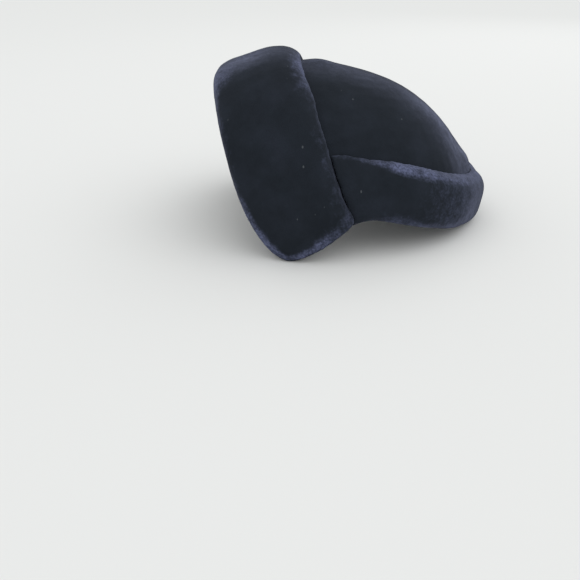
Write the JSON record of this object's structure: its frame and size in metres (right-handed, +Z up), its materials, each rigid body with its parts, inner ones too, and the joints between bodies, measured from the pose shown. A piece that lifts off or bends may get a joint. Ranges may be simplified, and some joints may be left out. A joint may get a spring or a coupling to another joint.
{
  "type": "pillbox hat",
  "caption": "Padded navy velvet pillbox cap: a hollow domed crown, a wide front cuff that ends in ear wings, and a turned-up back cuff.",
  "frame": {"origin": "middle of the cap's box, on the surface that it rests on", "axes": "+X to the wearer's left, -Y to the wearer's front, +Z up; the cap rests on its two wings and its back cuff"},
  "size_m": [0.167, 0.1718, 0.1056],
  "materials": {
    "velvet": "deep navy cotton velvet, soft pile with a violet-blue sheen"
  },
  "bodies": {
    "root": {"crown": "velvet", "front_cuff": "velvet", "back_cuff": "velvet"}
  },
  "joints": []
}
